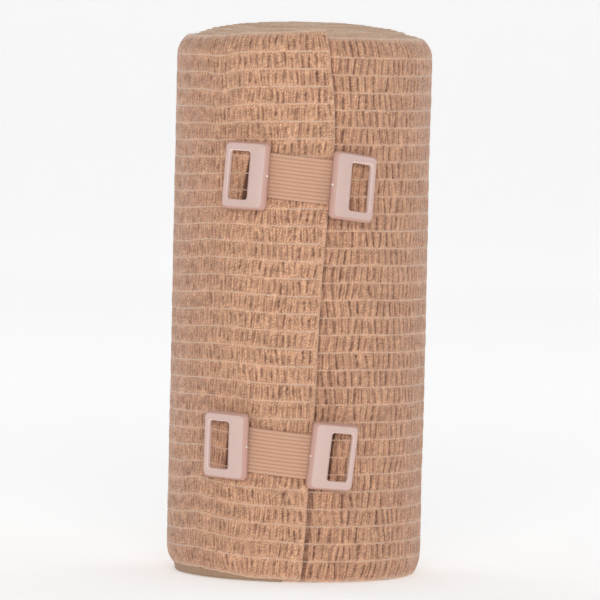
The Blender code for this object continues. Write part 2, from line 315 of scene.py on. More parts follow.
# Painted shade on the lower inner turns, under the outermost turn's raised bottom edge.
LOW_TURNS_SHADE_COLOUR = (0.400, 0.262, 0.168, 1.0)
SELVAGE_COLOUR = (0.740, 0.560, 0.420, 1.0)
FRAME_COLOUR = (0.640, 0.462, 0.418, 1.0)
# Painted shade: a darker copy of the frame colour for its bevels and sides.
FRAME_SHADED_EDGE_COLOUR = (0.560, 0.330, 0.270, 1.0)
# Painted light: a paler copy of the frame colour for the window walls and some band-side bevels.
FRAME_LIT_SIDE_COLOUR = (0.860, 0.670, 0.610, 1.0)
PALE_DOT_COLOUR = (0.950, 0.930, 0.900, 1.0)
BAND_COLOUR = (0.680, 0.400, 0.270, 1.0)
# Painted shade in the band's grooves.
GROOVE_SHADE_COLOUR = (0.400, 0.205, 0.130, 1.0)
STAGE_COLOUR = (0.900, 0.900, 0.900, 1.0)
STAGE_GLOW_NEAR = (0.620, 0.620, 0.620, 1.0)
STAGE_GLOW_FAR = (0.800, 0.800, 0.800, 1.0)

SEED = 7


def roll_axis():
    """The roll's axis in plan. A spiral's box is off its axis by a quarter of its pitch."""
    low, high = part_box("bandage_roll")
    return Vector(((low.x + high.x) / 2 + PITCH / 4, (low.y + high.y) / 2 + PITCH / 4, 0.0))


AXIS = roll_axis()


# Reading the tables and placing points on the roll.

def column(table, index):
    return np.array([row[index] for row in table])


def read_table(table, key, index, blur=0.0):
    """Reads a table between its rows, averaged over a short stretch so that no kink shows."""
    total = 0.0
    offsets = np.linspace(-1.0, 1.0, 5)
    for offset in offsets:
        total = total + np.interp(key + offset * blur, column(table, 0), column(table, index))
    return total / len(offsets)


def outer_radius(azimuth):
    return ROLL_RADIUS - PITCH * (FREE_END_AZIMUTH - azimuth) / FULL_TURN


def strip_edges(azimuth):
    """Heights of the strip's bottom and top edge."""
    share = outer_radius(azimuth) / ROLL_RADIUS
    back = (FREE_END_AZIMUTH - azimuth) / FULL_TURN
    bottom = read_table(SLIDE_BY_RADIUS, share, 2, 0.02) + read_table(SLIDE_NEAR_END, back, 2, 0.02)
    top = read_table(SLIDE_BY_RADIUS, share, 1, 0.02) + read_table(SLIDE_NEAR_END, back, 1, 0.02)
    return bottom * STRIP_WIDTH, (1.0 + top) * STRIP_WIDTH


def row_rise(azimuth, share):
    """How much higher the outermost turn's fabric lies than straight rows would."""
    rise = ROW_LIFT
    for middle, reach, share_middle, share_reach, height in ROW_WAVES:
        across = np.exp(-(((azimuth - middle) / reach) ** 2))
        rise = rise + height * across * np.exp(-(((share - share_middle) / share_reach) ** 2))
    return rise * ease(share / 0.04) * ease((1.0 - share) / 0.03)


def ease(value):
    value = np.clip(value, 0.0, 1.0)
    return value * value * (3.0 - 2.0 * value)


def grip_fold(azimuth, height):
    """Depth of the folds that the clips' grips pull into the outermost turn, which also sets their painted
    shade.
    """
    places = {(row[0], row[1]): row[2:5] for row in FRAME_PLACES}
    depth = 0.0
    for clip, side, top_across, bottom_across, top_reach, bottom_reach, full_depth in GRIP_FOLDS:
        middle, height_share, lean = places[clip, side]
        nearest = np.where(azimuth < middle - FULL_TURN / 2, azimuth + FULL_TURN, azimuth)
        right = np.radians(nearest - middle) * ROLL_RADIUS
        up = height - height_share * STRIP_WIDTH
        tilt = math.radians(lean)
        across = right * math.cos(tilt) - up * math.sin(tilt)
        along = right * math.sin(tilt) + up * math.cos(tilt)
        down = np.clip(0.5 - along / WINDOW_HEIGHT, 0.0, 1.0)
        reach = top_reach + down * (bottom_reach - top_reach)
        off = (across - top_across - down * (bottom_across - top_across)) / reach
        inside = ease((WINDOW_HEIGHT / 2 + 0.0004 - np.abs(along)) / 0.0009)
        depth = np.maximum(depth, full_depth * inside * np.exp(-(off ** 4)))
    return depth


def on_roll(azimuth, radius, height):
    angle = np.radians(azimuth)
    x = AXIS.x + radius * np.sin(angle)
    y = AXIS.y - radius * np.cos(angle)
    return np.stack(np.broadcast_arrays(x, y, height), axis=-1)


def edge_lean(level, radius, bottom_lean=BOTTOM_LEAN):
    """How far a point leans inwards, from its level across the strip."""
    bottom = np.clip(1.0 - level / EDGE_LEAN_REACH, 0.0, 1.2)
    top = np.clip(1.0 - (STRIP_WIDTH - level) / EDGE_LEAN_REACH, 0.0, 1.2)
    return (bottom_lean * bottom ** 2 + TOP_LEAN * top ** 2) * radius / ROLL_RADIUS


# Smooth random fields, the same on each run.

LATTICE = np.random.default_rng(SEED).uniform(-1.0, 1.0, 8192)


def smooth_noise(position, lane):
    """Smooth noise from -1 to 1 along position. Each whole number in lane is its own sequence."""
    cell = np.floor(position).astype(int)
    share = position - cell
    share = share * share * (3.0 - 2.0 * share)
    start = cell + np.asarray(lane) * 977
    return LATTICE[start % 8192] * (1.0 - share) + LATTICE[(start + 1) % 8192] * share


# Meshes from rows of points.

def mesh_object(name, points, faces, uv=None, values=None):
    """A mesh object from points and faces, with a UV per point and a dictionary of point values."""
    data = bpy.data.meshes.new(name)
    data.from_pydata(points.tolist(), [], faces)
    corners = np.zeros(len(data.loops), dtype=np.int32)
    data.loops.foreach_get("vertex_index", corners)
    if uv is not None:
        layer = data.uv_layers.new(name="strip")
        layer.data.foreach_set("uv", uv[corners].astype(np.float32).ravel())
    for key, value in (values or {}).items():
        attribute = data.attributes.new(key, "FLOAT", "POINT")
        attribute.data.foreach_set("value", value.astype(np.float32))
    data.shade_smooth()
    thing = bpy.data.objects.new(name, data)
    bpy.context.scene.collection.objects.link(thing)
    return thing


def ring_faces(section_count, ring_size, first=0):
    """Quads between closed rings of points that follow each other."""
    i, j = np.meshgrid(np.arange(section_count - 1), np.arange(ring_size), indexing="ij")
    k = (j + 1) % ring_size
    a = first + i * ring_size + j
    b = first + i * ring_size + k
    c = first + (i + 1) * ring_size + k
    d = first + (i + 1) * ring_size + j
    return np.stack([a, b, c, d], axis=-1).reshape(-1, 4)


def cap_faces(outer, inner):
    """Triangles between two chains that run the same way and may have different point counts."""
    faces = []
    i = 0
    j = 0
    while i < len(outer) - 1 or j < len(inner) - 1:
        if (i + 1) / (len(outer) - 1) <= (j + 1) / (len(inner) - 1):
            faces.append((outer[i], inner[j], outer[i + 1]))
            i += 1
        else:
            faces.append((outer[i], inner[j], inner[j + 1]))
            j += 1
    return faces


# The puckered fabric of the outermost turn.

def face_levels(points_per_row):
    """Levels across the strip at which its outer face has points."""
    stops = [0.0] + [THREAD_MARGIN + i * THREAD_PITCH for i in range(THREAD_COUNT)] + [STRIP_WIDTH]
    levels = [0.0]
    for low, high in zip(stops, stops[1:]):
        levels.extend(np.linspace(low, high, points_per_row + 1)[1:])
    return np.array(levels)


def row_of(level):
    """Which row a level lies in, and how far up that row."""
    place = (level - THREAD_MARGIN) / THREAD_PITCH + 1.0
    row = np.clip(np.floor(place), 0, THREAD_COUNT)
    share = place - row
    share = np.where(row == 0, level / THREAD_MARGIN, share)
    share = np.where(row == THREAD_COUNT, (level - STRIP_WIDTH + THREAD_MARGIN) / THREAD_MARGIN, share)
    return row.astype(int), np.clip(share, 0.0, 1.0)


def chance(number, row, lane):
    """A random value from 0 to 1 for each numbered crease of each row."""
    return 0.5 + 0.5 * LATTICE[(number * 7919 + row * 3571 + lane * 1511) % 8192]


def crease_count_to(run):
    """How many creases lie between the start of the outermost turn and a run along it."""
    stops = np.linspace(-0.010, 0.260, 1081)
    pitch = read_table(PUCKERS, stops / outer_turn_length(), 1)
    counts = np.cumsum((stops[1] - stops[0]) / pitch)
    return np.interp(run, stops, counts)


def creases(run, share, row):
    """Depth of the fabric's creases, from 0 to 1, at runs and shares of the way up rows."""
    turns = run / outer_turn_length()
    pitch = read_table(PUCKERS, turns, 1)
    strength = read_table(PUCKERS, turns, 2)
    span = read_table(PUCKERS, turns, 3)
    place = crease_count_to(run) + chance(0 * row, row, 20)
    place = place + 0.32 * smooth_noise(run / 0.0055, row * 2 + 11)
    place = place + (share - 0.5) * 0.50 * smooth_noise(run / 0.0042, row * 2 + 12)
    place = place + 0.00011 / pitch * smooth_noise(share * 6.0 + run / 0.0019, row + 200)
    number = np.floor(place + 0.5).astype(int)
    off = place - number
    middle = 0.5 + (1.0 - span) * (chance(number, row, 3) - 0.5)
    half = 0.5 * span * (0.80 + 0.35 * chance(number, row, 4))
    reach = ease(0.2 + (half - np.abs(share - middle)) / 0.12)
    full = strength * (0.35 + 0.65 * chance(number, row, 6))
    width = CREASE_HALF_WIDTH / pitch * (0.80 + 0.45 * chance(number, row, 7))
    bead = share * 9.0 + 3.0 * chance(number, row, 10)
    knots = 0.90 + (0.85 - 0.45 * strength) * smooth_noise(bead, row + number)
    edge = ease(share / 0.05) * ease((1.0 - share) / 0.05)
    return np.clip(full * reach * knots * edge * np.exp(-((off / width) ** 2)), 0.0, 1.0)


def ribs(run, share, row):
    """Depth of the fine furrows between the ribs, from 0 to 1, at runs and shares of the way up rows."""
    place = run / RIB_PITCH + 5.0 * chance(0 * row, row, 21) + 0.8 * smooth_noise(run / 0.0027, row * 2 + 13)
    place = place + 0.16 * smooth_noise(share * 7.0 + run / 0.0011, row + 230)
    place = place + (share - 0.5) * 0.9 * smooth_noise(run / 0.0042, row * 2 + 12)
    number = np.floor(place).astype(int)
    wave = 0.5 - 0.5 * np.cos(2 * math.pi * (place - number))
    depth = 0.35 + 0.65 * chance(number, row, 8)
    knots = 0.75 + 0.55 * smooth_noise(share * 8.0 + 50.0, number + 17 * row)
    edge = ease(share / 0.06) * ease((1.0 - share) / 0.06)
    return np.clip((1.0 - wave) ** 1.5 * depth * knots * edge, 0.0, 1.0)


def outer_turn_length():
    return 2 * math.pi * ROLL_RADIUS


def fabric_relief(run, levels):
    """Outward offset of the fabric and depth of its creases and furrows, at runs and levels."""
    row, share = row_of(levels)
    arch = np.sin(np.pi * share)
    envelope = np.sqrt(arch)[None, :]
    run_grid = run[:, None] + 0.0 * levels[None, :]
    share_grid = share[None, :] + 0.0 * run_grid
    row_grid = row[None, :] + 0 * run_grid.astype(int)
    crease = creases(run_grid, share_grid, row_grid)
    furrow = ribs(run_grid, share_grid, row_grid)
    offset = ROW_BULGE * envelope - CREASE_DEPTH * crease - FURROW_DEPTH * furrow
    offset = offset + COARSE_PUCKER * envelope * smooth_noise(run_grid / 0.0016, row[None, :] + 71)
    offset = offset + slow_swell(run_grid, levels[None, :])
    return offset, crease, furrow


def seam_groove(azimuth, level):
    """Depth from 0 to 1 of the groove in the under layer, just beside the cut edge that lies on it, which
    also sets the painted shadow of that edge.
    """
    edge = read_table(FREE_EDGE, level / STRIP_WIDTH, 1, 0.01)
    beside = np.radians(azimuth + FULL_TURN - edge) * ROLL_RADIUS
    low = ease((0.032 - level) / 0.012)
    full = np.clip(0.60 + 0.40 * smooth_noise(level / 0.0024, 402) + 0.25 * low, 0.0, 1.0)
    width = 0.0011 + 0.0006 * low + 0.0003 * smooth_noise(level / 0.0031, 403)
    return full * ease((width - beside) / 0.0006) * (beside > -0.0010)


def slow_swell(run, level):
    """The long soft waves of the whole fabric, which its threads follow."""
    return SLOW_SWELL * smooth_noise(run / 0.011 + level / 0.03, 131)


def strip_ring_levels(points_per_row):
    """Levels and depths of one ring round the strip's cross-section, and the point counts of its parts."""
    half = STRIP_THICKNESS / 2
    levels = face_levels(points_per_row)
    angles = np.linspace(0.0, math.pi, EDGE_POINTS + 2)[1:-1]
    bottom = [(half * 0.6 * -math.sin(a), half - half * math.cos(a)) for a in reversed(angles)]
    top = [(STRIP_WIDTH + half * 0.6 * math.sin(a), half - half * math.cos(a)) for a in angles]
    chain = bottom + [(level, 0.0) for level in levels] + top
    inner = [(level, STRIP_THICKNESS) for level in np.linspace(STRIP_WIDTH, 0.0, INNER_FACE_POINTS)]
    ring = np.array(chain + inner)
    return ring[:, 0], ring[:, 1], len(bottom), len(levels), len(chain)


def outer_sheet(name, start, end, step, points_per_row, free_end=False):
    """A stretch of the outermost turn as a closed wall, puckered on its outer face."""
    ring_level, ring_depth, edge_count, face_count, chain_count = strip_ring_levels(points_per_row)
    count = int(math.radians(end - start) * ROLL_RADIUS / step) + 2
    share = np.linspace(0.0, 1.0, count)
    level = ring_level[None, :]
    to_edge = read_table(FREE_EDGE, ring_level / STRIP_WIDTH, 1, 0.01)[None, :] if free_end else end
    if free_end:
        to_edge = to_edge + 0.16 * smooth_noise(level / 0.0016, 401)
        to_edge = to_edge + 0.10 * smooth_noise(level / 0.0005, 402)
    azimuth = start + share[:, None] * (to_edge - start) + 0.0 * level
    run = np.radians(start + share * (end - start) + FULL_TURN) * ROLL_RADIUS
    relief, crease, furrow = fabric_relief(run, face_levels(points_per_row))
    ring_relief = np.zeros((count, len(ring_level)))
    ring_crease = np.zeros_like(ring_relief)
    ring_furrow = np.zeros_like(ring_relief)
    faces = slice(edge_count, edge_count + face_count)
    ring_relief[:, faces] = relief
    ring_crease[:, faces] = crease
    ring_furrow[:, faces] = furrow
    ring_relief[:, :edge_count] = relief[:, :1]
    ring_relief[:, edge_count + face_count:chain_count] = relief[:, -1:]
    thickness = STRIP_THICKNESS * np.ones((count, 1))
    if free_end:
        left = (1.0 - share[:, None]) * math.radians(end - start) * ROLL_RADIUS
        calm = np.clip(left / CUT_EDGE_CALM_REACH, 0.0, 1.0) ** 1.5
        ring_relief = ring_relief * calm
        ring_crease = ring_crease * calm
        ring_furrow = ring_furrow * calm
        flat = np.clip(left / (2 * CUT_EDGE_CALM_REACH), 0.0, 1.0)
        rounded = np.clip(1.0 - left / CUT_EDGE_ROUND_REACH, 0.0, 1.0) ** 2
        drop = CUT_EDGE_THINNING * (1.0 - flat) + CUT_EDGE_ROUNDING * rounded
        thickness = thickness - drop
    radius = outer_radius(azimuth)
    bottom, top = strip_edges(azimuth)
    wave = EDGE_WAVE * smooth_noise(run / 0.0021, 211) + EDGE_RIPPLE * smooth_noise(run / 0.0008, 212)
    level_share = ring_level / STRIP_WIDTH
    height = bottom + level_share[None, :] * (top - bottom) + row_rise(azimuth, level_share[None, :])
    height = height + wave[:, None] * np.abs(2 * level_share - 1.0)[None, :] ** 6
    fold = grip_fold(azimuth, height) * (ring_depth[None, :] < 0.1 * STRIP_THICKNESS)
    ring_relief = ring_relief - fold
    # The folds also get painted shade through the crease value.
    ring_crease = np.clip(ring_crease + 1.5 * fold / CREASE_DEPTH, 0.0, 1.6)
    if not free_end:
        groove = seam_groove(azimuth, level) * (ring_depth[None, :] < 0.1 * STRIP_THICKNESS)
        ring_relief = ring_relief - SEAM_GROOVE_DEPTH * groove
        # Painted shadow of the cut edge on the under layer, through the crease value.
        ring_crease = np.maximum(ring_crease, 0.8 * groove)
    inward = (ring_depth / STRIP_THICKNESS)[None, :] * thickness + (STRIP_THICKNESS - thickness)
    distance = radius - inward - edge_lean(level, radius) + ring_relief
    points = on_roll(azimuth, distance, height).reshape(-1, 3)
    ring_size = len(ring_level)
    quads = ring_faces(count, ring_size).tolist()
    chain = list(range(chain_count))
    back = [chain_count - 1] + list(range(chain_count, ring_size)) + [0]
    for first, flip in ((0, True), ((count - 1) * ring_size, False)):
        cap = cap_faces([first + i for i in chain], [first + i for i in reversed(back)])
        cap = [face for face in cap if len(set(face)) == 3]
        quads.extend([tuple(reversed(face)) for face in cap] if flip else cap)
    uv = np.stack([run[:, None] + 0 * level, level + 0 * run[:, None]], axis=-1).reshape(-1, 2)
    # The crease and furrow depths also set painted shade in the fabric's colour.
    depths = {"crease": ring_crease.ravel(), "furrow": ring_furrow.ravel()}
    sheet = mesh_object(name, points, quads, uv, depths)
    sheet.data.set_sharp_from_angle(angle=math.radians(75))
    return sheet


def flip_if_inside_out(thing):
    """Turns all faces round where a closed mesh has a negative volume."""
    mesh = bmesh.new()
    mesh.from_mesh(thing.data)
    if mesh.calc_volume(signed=True) < 0:
        bmesh.ops.reverse_faces(mesh, faces=mesh.faces)
        mesh.to_mesh(thing.data)
    mesh.free()


# The turns inside the outermost one.

def inner_turns(name, step):
    """The strip from the core to where the outermost turn takes over, with soft wavy edges."""
    end = OUTER_TURN_START
    start = FREE_END_AZIMUTH - FULL_TURN * (ROLL_RADIUS - CORE_RADIUS - STRIP_THICKNESS) / PITCH
    places = [start]
    while places[-1] < end:
        places.append(places[-1] + math.degrees(step / outer_radius(places[-1])))
    places[-1] = end
    azimuth = np.array(places)[:, None]
    steps = np.radians(np.diff(azimuth[:, 0])) * outer_radius(azimuth[1:, 0])
    run = np.cumsum(np.concatenate([[0.0], steps]))
    half = STRIP_THICKNESS / 2
    lean_levels = [EDGE_LEAN_REACH * s for s in (0.15, 0.5, 1.0)]
    angles = np.linspace(0.0, math.pi, EDGE_POINTS + 2)[1:-1]
    ring = [(-half * 0.6 * math.sin(a), half - half * math.cos(a)) for a in reversed(angles)]
    ring += [(level, 0.0) for level in lean_levels]
    ring += [(STRIP_WIDTH - level, 0.0) for level in reversed(lean_levels)]
    ring += [(STRIP_WIDTH + half * 0.6 * math.sin(a), half - half * math.cos(a)) for a in angles]
    ring += [(STRIP_WIDTH - EDGE_LEAN_REACH, STRIP_THICKNESS), (EDGE_LEAN_REACH, STRIP_THICKNESS)]
    level = np.array([r[0] for r in ring])[None, :]
    depth = np.array([r[1] for r in ring])[None, :]
    radius = outer_radius(azimuth)
    bottom, top = strip_edges(azimuth)
    edge = np.abs(2 * level / STRIP_WIDTH - 1.0) ** 8
    wave = INNER_EDGE_WAVE * smooth_noise(run / 0.0120, 301)
    wave = wave + INNER_EDGE_RIPPLE * smooth_noise(run / 0.0016, 302)
    frill = INNER_EDGE_FRILL * smooth_noise(run / 0.00055, 303)
    height = bottom + level / STRIP_WIDTH * (top - bottom) + (wave + frill)[:, None] * edge
    sway = INNER_EDGE_SWAY * smooth_noise(run / 0.0031, 304)[:, None] * edge
    distance = radius - depth - edge_lean(level, radius, INNER_BOTTOM_LEAN) + sway
    points = on_roll(azimuth, distance, height).reshape(-1, 3)
    faces = ring_faces(len(places), len(ring)).tolist()
    last = (len(places) - 1) * len(ring)
    faces.append(tuple(reversed(range(len(ring)))))
    faces.append(tuple(range(last, last + len(ring))))
    uv = np.stack([run[:, None] + 0 * level, level + 0 * run[:, None]], axis=-1).reshape(-1, 2)
    # Painted shade in the dips of the frilled edges.
    crease = np.clip(-frill / INNER_EDGE_FRILL, 0.0, 1.0)[:, None] * edge
    return mesh_object(name, points, faces, uv, {"crease": (0.15 * crease).ravel()})


# The pale threads of the outermost turn.

def thread_tubes(name, start, step, sides):
    """All threads of the outermost turn, each a thin beaded tube that dips in and out of the fabric."""
    all_points = []
    all_faces = []
    first = 0
    for number in range(THREAD_COUNT):
        level = THREAD_MARGIN + number * THREAD_PITCH
        cut_edge = float(read_table(FREE_EDGE, level / STRIP_WIDTH, 1))
        end = cut_edge - math.degrees(THREAD_END_GAP / ROLL_RADIUS)
        count = int(math.radians(end - start) * ROLL_RADIUS / step)
        azimuth = np.linspace(start, end, count)
        run = np.radians(azimuth + FULL_TURN) * ROLL_RADIUS
        bottom, top = strip_edges(azimuth)
        middle = bottom + level / STRIP_WIDTH * (top - bottom) + row_rise(azimuth, level / STRIP_WIDTH)
        middle = middle + THREAD_SWAY * smooth_noise(run / 0.0017, 500 + number)
        dip = THREAD_DIP * smooth_noise(run / 0.0006, 600 + number)
        dip = dip + THREAD_SLOW_DIP * smooth_noise(run / 0.004, 640)
        surface = outer_radius(azimuth) - edge_lean(level, ROLL_RADIUS) + slow_swell(run, level)
        centre = surface + dip - THREAD_SINK
        thick = THREAD_RADIUS * (1.0 + 0.25 * smooth_noise(run / 0.0007, 700 + number))
        thick[0] = thick[-1] = THREAD_RADIUS * 0.3
        angle = np.linspace(0.0, 2 * math.pi, sides, endpoint=False)[None, :]
        distance = centre[:, None] + thick[:, None] * np.cos(angle)
        height = middle[:, None] + thick[:, None] * np.sin(angle)
        all_points.append(on_roll(azimuth[:, None] + 0 * angle, distance, height).reshape(-1, 3))
        all_faces.extend(ring_faces(count, sides, first).tolist())
        all_faces.append(tuple(reversed(range(first, first + sides))))
        all_faces.append(tuple(range(first + (count - 1) * sides, first + count * sides)))
        first += count * sides
    return mesh_object(name, np.concatenate(all_points), all_faces)


# Where the clips sit.

def surface_radius(azimuth, height):
    edge = float(read_table(FREE_EDGE, height / STRIP_WIDTH, 1))
    return outer_radius(azimuth if azimuth <= edge else azimuth - FULL_TURN)


def seat_frame(azimuth, height, yaw, tilt):
    """Azimuth of a resting frame's normal, the distance of its back, and how far sideways it lies."""
    normal = azimuth + yaw
    sideways = -ROLL_RADIUS * math.tan(math.radians(yaw))
    distance = 0.0
    steps = 24
    for i in range(steps + 1):
        offset = sideways + FRAME_WIDTH * (i / steps - 0.5)
        place = normal + math.degrees(math.atan2(offset, ROLL_RADIUS))
        for end in (-0.5, 0.0, 0.5):
            radius = surface_radius(place, height + end * FRAME_HEIGHT)
            lifted = end * FRAME_HEIGHT * math.sin(math.radians(tilt))
            distance = max(distance, radius * math.cos(math.radians(place - normal)) - lifted)
    return normal, distance + SEAT_GAP, sideways


def frame_matrix(normal, distance, sideways, height, lean, tilt, side):
    half_turn = 180.0 if side == "right" else 0.0
    in_plane = Matrix.Rotation(math.radians(lean + half_turn), 4, "Y")
    tilted = Matrix.Rotation(math.radians(tilt), 4, "X")
    outwards = Matrix.Translation((sideways, -distance, height))
    swing = Matrix.Rotation(math.radians(normal), 4, "Z")
    return Matrix.Translation(AXIS) @ swing @ outwards @ tilted @ in_plane


def band_anchor(seat, height, lean, side, rise):
    """Azimuth and height of the band's middle line where it enters the frame."""
    normal, distance, sideways = seat
    reach = (1.0 if side == "left" else -1.0) * FRAME_WIDTH / 2
    across = sideways + reach * math.cos(math.radians(lean))
    azimuth = normal + math.degrees(math.atan2(across, distance))
    return azimuth, height - reach * math.sin(math.radians(lean)) + rise


# Modelling by hand: picking parts of the mesh that is being edited.

def pick(mode, rule):
    """Selects the vertices, edges or faces of the edited mesh that a rule says yes to."""
    bpy.ops.mesh.select_mode(type=mode)
    bpy.ops.mesh.select_all(action="DESELECT")
    mesh = bmesh.from_edit_mesh(bpy.context.edit_object.data)
    parts = {"VERT": mesh.verts, "EDGE": mesh.edges, "FACE": mesh.faces}[mode]
    for part in parts:
        if rule(part):
            part.select_set(True)
    mesh.select_flush_mode()
    bmesh.update_edit_mesh(bpy.context.edit_object.data)


def start_cube(name, size, middle):
    bpy.ops.object.select_all(action="DESELECT")
    bpy.ops.mesh.primitive_cube_add(size=1.0, location=middle)
    thing = bpy.context.object
    thing.name = name
    thing.data.name = name
    thing.scale = size
    bpy.ops.object.transform_apply(location=True, rotation=True, scale=True)
    return thing


def model_frame():
    """The left end frame, its back on the XZ plane and its face towards -Y: a plate on a smaller foot."""
    face = -FRAME_THICKNESS
    frame_piece = start_cube(
        "clip_frame",
        (FRAME_WIDTH, FRAME_PLATE, FRAME_HEIGHT),
        (0.0, face + FRAME_PLATE / 2, 0.0),
    )
    bpy.ops.object.mode_set(mode="EDIT")
    pick("EDGE", lambda e: abs(e.verts[0].co.y - e.verts[1].co.y) > FRAME_PLATE / 2)
    bpy.ops.mesh.bevel(offset=FRAME_CORNER, segments=5, affect="EDGES")
    pick("FACE", lambda f: abs(f.normal.y) > 0.9)
    margin = 0.1 * FRAME_CORNER
    bpy.ops.mesh.inset(thickness=margin, use_individual=True)
    stretch = (WINDOW_WIDTH / (FRAME_WIDTH - 2 * margin), 1.0, WINDOW_HEIGHT / (FRAME_HEIGHT - 2 * margin))
    bpy.ops.transform.resize(value=stretch, center_override=(0.0, 0.0, 0.0))
    shift = -FRAME_WIDTH / 2 + THIN_BAR + WINDOW_WIDTH / 2
    bpy.ops.transform.translate(value=(shift, 0.0, 0.0))
    bpy.ops.mesh.bridge_edge_loops()

    def on_rim(edge):
        on_face = all(v.co.y < face + 1e-6 for v in edge.verts)
        return on_face and any(abs(f.normal.y) < 0.5 for f in edge.link_faces)

    def on_outline(edge):
        middle = (edge.verts[0].co + edge.verts[1].co) / 2
        near_side = abs(middle.x) > FRAME_WIDTH / 2 - FRAME_CORNER
        near_end = abs(middle.z) > FRAME_HEIGHT / 2 - FRAME_CORNER
        return on_rim(edge) and (near_side or near_end)

    pick("EDGE", on_outline)
    bpy.ops.mesh.bevel(offset=FRAME_BEVEL, segments=3, affect="EDGES", profile=0.35)
    pick("EDGE", on_rim)
    bpy.ops.mesh.bevel(offset=WINDOW_BEVEL, segments=2, affect="EDGES", profile=0.35)
    pick("FACE", lambda f: f.normal.y > 0.9)
    bpy.ops.mesh.inset(thickness=FRAME_UNDERCUT, use_individual=False)
    foot = {"value": (0.0, FRAME_THICKNESS - FRAME_PLATE, 0.0)}
    bpy.ops.mesh.extrude_region_move(TRANSFORM_OT_translate=foot)
    bpy.ops.object.mode_set(mode="OBJECT")
    cut_recess(frame_piece)
    return frame_piece


def cut_recess(frame_piece):
    """Cuts the seat of the band's end out of the back of the wide bar."""
    reach = BAND_TUCK + RECESS_CLEARANCE
    cutter = start_cube(
        "recess_cutter",
        (2 * reach, 2 * RECESS_DEPTH, BAND_WIDTH + 2 * (RECESS_CLEARANCE + RECESS_ROOM)),
        (FRAME_WIDTH / 2, 0.0, 0.0),
    )
    bpy.ops.object.select_all(action="DESELECT")
    bpy.context.view_layer.objects.active = frame_piece
    cut = frame_piece.modifiers.new("recess", "BOOLEAN")
    cut.object = cutter
    bpy.ops.object.modifier_apply(modifier="recess")
    bpy.data.objects.remove(cutter)


def add_pale_dot(frame_piece, material):
    """A little pale round stub on the edge that the band enters."""
    bpy.ops.object.select_all(action="DESELECT")
    place = (FRAME_WIDTH / 2 - 0.00012, -FRAME_THICKNESS + FRAME_BEVEL * 0.9, 0.0002)
    bpy.ops.mesh.primitive_uv_sphere_add(segments=14, ring_count=8, radius=PALE_DOT_RADIUS, location=place)
    mark = bpy.context.object
    mark.data.materials.append(material)
    frame_piece.select_set(True)
    bpy.context.view_layer.objects.active = frame_piece
    bpy.ops.object.join()


# The ribbed elastic bands.

def band_ring():
    """Across the band: distance from its middle, height above its back, and depth of the groove."""
    rib = BAND_WIDTH / BAND_RIB_COUNT
    per_rib = 7
    ring = []
    for i in range(BAND_RIB_COUNT * per_rib + 1):
        share = (i / per_rib) % 1.0
        arch = math.sin(math.pi * share) ** 0.6
        across = -BAND_WIDTH / 2 + i * rib / per_rib
        ring.append((across, BAND_THICKNESS - BAND_RIB_HEIGHT * (1.0 - arch), 1.0 - arch))
    soften = BAND_THICKNESS * 0.35
    ring[0] = (-BAND_WIDTH / 2, BAND_THICKNESS - soften, 0.6)
    ring[-1] = (BAND_WIDTH / 2, BAND_THICKNESS - soften, 0.6)
    for across in (BAND_WIDTH / 2, BAND_WIDTH / 4, 0.0, -BAND_WIDTH / 4, -BAND_WIDTH / 2):
        ring.append((across, 0.0, 0.5))
    return np.array(ring)


def model_band(name, left, right, left_lean, right_lean):
    """A band round the front of the roll, its ends tucked into the frames' recesses."""
    back_radius = ROLL_RADIUS + SEAT_GAP
    tuck = math.degrees(BAND_TUCK / back_radius)
    start = left[0] - tuck
    end = right[0] + tuck
    slope = (right[1] - left[1]) / (right[0] - left[0])
    count = int(math.radians(end - start) * back_radius / BAND_STEP)
    share = np.linspace(0.0, 1.0, count)[:, None]
    ring = band_ring()
    across, thickness, groove = (ring[:, i][None, :] for i in range(3))
    azimuth = start + share * (end - start)
    lean = np.radians(left_lean + share * (right_lean - left_lean))
    run = share * math.radians(end - start) * back_radius
    place = azimuth + np.degrees(across * np.sin(lean) / back_radius)
    height = left[1] + slope * (azimuth - left[0]) + across * np.cos(lean)
    rib_number = np.floor((across / BAND_WIDTH + 0.5) * BAND_RIB_COUNT).astype(int)
    knit = np.sin(2 * math.pi * (run / BAND_KNIT_PITCH + 0.37 * rib_number))
    rough = smooth_noise(run / 0.0012 + 0 * across, 800 + rib_number)
    on_front = (thickness > 0.0) * (1.0 - groove)
    lift = on_front * (BAND_KNIT_HEIGHT * knit + BAND_ROUGH_HEIGHT * rough)
    points = on_roll(place, back_radius + thickness + lift, height).reshape(-1, 3)
    size = ring.shape[0]
    faces = ring_faces(count, size).tolist()
    faces.append(tuple(reversed(range(size))))
    faces.append(tuple(range((count - 1) * size, count * size)))
    uv = np.stack([run + 0 * across, across + 0 * run], axis=-1).reshape(-1, 2)
    # Painted shade for the grooves and the hollows of the knit, kept as the point value groove.
    shade = np.clip(groove + 0.25 * on_front * (0.5 - 0.5 * knit), 0.0, 1.0) + 0 * run
    return mesh_object(name, points, faces, uv, {"groove": shade.ravel()}), float(run[-1, 0])


# Node groups and materials.

def new_group(name, inputs, outputs):
    group = bpy.data.node_groups.new(name, "ShaderNodeTree")
    for title, kind, value in inputs:
        socket = group.interface.new_socket(title, in_out="INPUT", socket_type=kind)
        socket.default_value = value
    for title, kind in outputs:
        group.interface.new_socket(title, in_out="OUTPUT", socket_type=kind)
    return group, group.nodes.new("NodeGroupInput"), group.nodes.new("NodeGroupOutput")


def link_or_set(tree, socket, value):
    """Sets a socket to a plain value, or links it to another node's output."""
    if isinstance(value, (int, float, tuple)):
        socket.default_value = value
    else:
        tree.links.new(value, socket)


def math_node(tree, operation, *values, clamp=False):
    node = tree.nodes.new("ShaderNodeMath")
    node.operation = operation
    node.use_clamp = clamp
    for socket, value in zip(node.inputs, values):
        link_or_set(tree, socket, value)
    return node.outputs[0]


